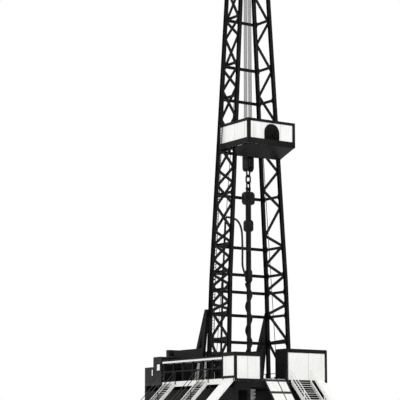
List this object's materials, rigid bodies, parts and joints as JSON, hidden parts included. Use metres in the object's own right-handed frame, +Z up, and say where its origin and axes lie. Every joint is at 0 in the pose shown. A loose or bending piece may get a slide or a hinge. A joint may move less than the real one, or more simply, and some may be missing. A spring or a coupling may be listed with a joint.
{
  "type": "oil drilling rig, 1:2 scale model",
  "caption": "Land drilling rig with an open lattice mast, racking board, houses on a raised floor, stairs, ramp and travelling gear.",
  "frame": {"origin": "well centre at ground level, under the middle of the rotary table", "axes": "+X to the right along the floor's front edge, +Y from the front towards the drawworks, +Z up"},
  "size_m": [10.408, 13.122, 26.945],
  "materials": {
    "bare_steel": "worn",
    "black_steel": "satin",
    "hose_rubber": "matt",
    "machinery": "semi-gloss",
    "white_panel": "satin",
    "white_trim": "satin",
    "wire_rope": "greased"
  },
  "bodies": {
    "structure": {"aframe_left": "black_steel", "aframe_right": "black_steel", "anchor_lines": "wire_rope", "base_ties": "black_steel", "board_front_wall": "white_panel", "board_knees": "black_steel", "board_side_walls": "white_panel", "crown_bearings": "black_steel", "crown_frame": "black_steel", "crown_rails": "black_steel", "crown_sheaves": "bare_steel", "deadline_anchor": "black_steel", "doghouse_back_wall": "white_panel", "doghouse_front_wall": "white_panel", "doghouse_roof": "white_panel", "doghouse_side_walls": "white_panel", "drawworks": "machinery", "drawworks_drum": "bare_steel", "drill_floor": "black_steel", "drilling_lines": "wire_rope", "engines": "machinery", "floor_beams": "black_steel", "floor_fascia": "white_trim", "floor_handrails": "black_steel", "left_inner_base_frame": "black_steel", "left_outer_base_frame": "black_steel", "mast_back_girts": "black_steel", "mast_ladder": "black_steel", "mast_leg_back_left": "black_steel", "mast_leg_back_right": "black_steel", "mast_leg_front_left": "black_steel", "mast_leg_front_right": "black_steel", "mast_side_left": "black_steel", "mast_side_right": "black_steel", "porch_posts": "black_steel", "porch_roof": "white_panel", "preventer_stack": "white_trim", "racking_board": "black_steel", "rear_cabin": "machinery", "right_house_back_wall": "white_panel", "right_house_front_wall": "white_panel", "right_house_roof": "white_panel", "right_house_side_walls": "white_panel", "right_inner_base_frame": "black_steel", "right_outer_base_frame": "black_steel", "rotary_hose": "hose_rubber", "rotary_table": "bare_steel", "slides": "white_trim", "stair_rails": "white_trim", "stair_stringers": "white_trim", "stair_treads": "black_steel", "standpipe": "black_steel", "v_door_ramp": "white_trim"},
    "travelling": {"travelling_block": "machinery", "block_links": "machinery", "hook": "machinery", "swivel": "machinery", "spiral_kelly": "bare_steel"}
  },
  "joints": [
    {"name": "travelling_gear_hoist", "type": "slide", "parent": "structure", "child": "travelling", "axis": [0, 0, 1], "range_m": [-3.6, 7], "deforming": ["drilling_lines", "rotary_hose"]}
  ]
}
